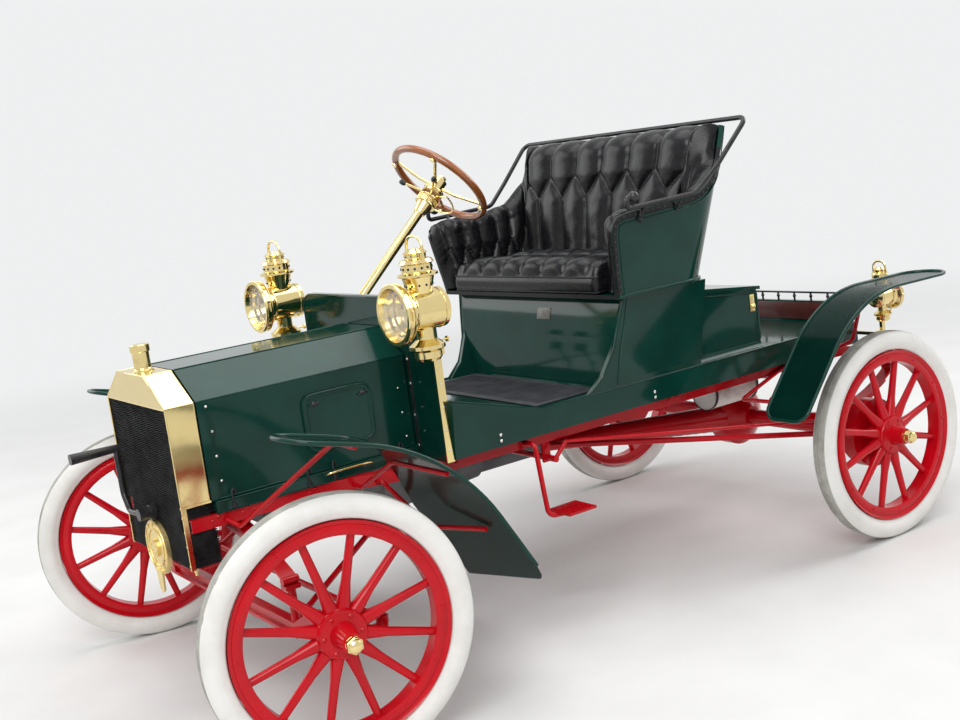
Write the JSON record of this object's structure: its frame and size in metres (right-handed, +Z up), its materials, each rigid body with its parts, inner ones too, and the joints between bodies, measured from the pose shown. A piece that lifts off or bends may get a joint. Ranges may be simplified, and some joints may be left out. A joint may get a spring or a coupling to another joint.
{
  "type": "open runabout car",
  "caption": "Light brass-era open runabout with a flared bench seat, wooden spoked wheels, open fenders, brass radiator and lamps; wheels roll and steer.",
  "frame": {"origin": "middle of the bounding box at ground level, half-way along the car's length", "axes": "+Z up; the front of the car faces -Y; +X is the car's left side"},
  "size_m": [1.687, 2.853, 1.5351],
  "materials": {
    "body_paint": "deep green gloss coach paint",
    "chassis_paint": "bright red gloss paint",
    "wheel_paint": "bright red gloss paint",
    "brass": "polished",
    "black_iron": "black enamel",
    "leather": "black, glossy",
    "white_rubber": "white rubber with grey tread",
    "wood": "varnished",
    "glass": "clear",
    "white_enamel": "white enamel",
    "engine_grey": "plain casting",
    "core_black": "matt black fins"
  },
  "bodies": {
    "chassis": {"frame": "chassis_paint", "radiator_core": "core_black", "radiator_shell": "brass", "hood_ledges": "body_paint", "engine_block": "engine_grey", "dash_board": "body_paint", "dash_edging": "brass", "body_tub": "body_paint", "gallery_rail": "black_iron", "seat_shell": "body_paint", "seat_back": "leather", "seat_cushion": "leather", "arm_iron": "black_iron", "front_fenders": "body_paint", "rear_fenders": "body_paint", "fender_stays": "chassis_paint", "steps": "chassis_paint", "front_axle": "chassis_paint", "springs": "chassis_paint", "rear_axle": "chassis_paint", "radius_rods": "chassis_paint", "muffler": "white_enamel", "steering_column": "brass", "brake_gear": "chassis_paint", "lamps": "brass", "lamp_glasses": "glass", "starting_crank": "black_iron", "drive_cover": "brass"},
    "hood": {"hood": "body_paint"},
    "box_lid": {"box_lid": "body_paint"},
    "knuckle_left": {"knuckle_left": "chassis_paint"},
    "knuckle_right": {"knuckle_right": "chassis_paint"},
    "steering_links": {"tie_rod": "chassis_paint", "drag_link": "chassis_paint"},
    "pitman_arm": {"pitman_arm": "chassis_paint"},
    "hand_wheel": {"hand_wheel_rim": "wood", "hand_wheel_spider": "brass"},
    "wheel_front_left": {"wheel_front_left": "wheel_paint", "tyre_front_left": "white_rubber", "cap_front_left": "brass"},
    "wheel_front_right": {"wheel_front_right": "wheel_paint", "tyre_front_right": "white_rubber", "cap_front_right": "brass"},
    "wheel_rear_left": {"wheel_rear_left": "wheel_paint", "tyre_rear_left": "white_rubber", "cap_rear_left": "brass"},
    "wheel_rear_right": {"wheel_rear_right": "wheel_paint", "tyre_rear_right": "white_rubber", "cap_rear_right": "brass"}
  },
  "joints": [
    {"name": "steer_left", "type": "hinge", "parent": "chassis", "child": "knuckle_left", "pos_m": [0.65, -1.0641, 0.3556], "axis": [0, 0, 1], "range_deg": [-17, 39]},
    {"name": "steer_right", "type": "hinge", "parent": "chassis", "child": "knuckle_right", "pos_m": [-0.65, -1.0641, 0.3556], "axis": [0, 0, 1], "range_deg": [-17, 39]},
    {"name": "tie_rod_pin", "type": "hinge", "parent": "knuckle_left", "child": "steering_links", "pos_m": [0.67481, -0.93649, 0.3356], "axis": [0, 0, 1], "range_deg": [-39, 17]},
    {"name": "pitman_turn", "type": "hinge", "parent": "chassis", "child": "pitman_arm", "pos_m": [-0.262, -0.8501, 0.59], "axis": [0, 0.7373, 0.6756], "range_deg": [-17, 39]},
    {"name": "hand_wheel_turn", "type": "hinge", "parent": "chassis", "child": "hand_wheel", "pos_m": [-0.262, 0.0239, 1.39087], "axis": [0, 0.7373, 0.6756], "range_deg": [-68, 156]},
    {"name": "hood_lift", "type": "slide", "parent": "chassis", "child": "hood", "axis": [0, 0, 1], "range_m": [0, 0.25]},
    {"name": "box_lid_hinge", "type": "hinge", "parent": "chassis", "child": "box_lid", "pos_m": [0, 0.5899, 0.9197], "axis": [1, 0, 0], "range_deg": [0, 75]},
    {"name": "spin_front_left", "type": "hinge", "parent": "knuckle_left", "child": "wheel_front_left", "pos_m": [0.70988, -1.07574, 0.3556], "axis": [0.9816, -0.1908, 0], "continuous": true},
    {"name": "spin_front_right", "type": "hinge", "parent": "knuckle_right", "child": "wheel_front_right", "pos_m": [-0.70988, -1.05246, 0.3556], "axis": [0.9816, -0.1908, 0], "continuous": true},
    {"name": "spin_rear_left", "type": "hinge", "parent": "chassis", "child": "wheel_rear_left", "pos_m": [0.711, 1.0699, 0.3556], "axis": [1, 0, 0], "continuous": true},
    {"name": "spin_rear_right", "type": "hinge", "parent": "chassis", "child": "wheel_rear_right", "pos_m": [-0.711, 1.0699, 0.3556], "axis": [1, 0, 0], "continuous": true}
  ],
  "couplings": [
    {"joint": "steer_right", "follows": "steer_left", "ratio": 1},
    {"joint": "tie_rod_pin", "follows": "steer_left", "ratio": -1},
    {"joint": "pitman_turn", "follows": "steer_left", "ratio": 1},
    {"joint": "hand_wheel_turn", "follows": "steer_left", "ratio": 4}
  ]
}
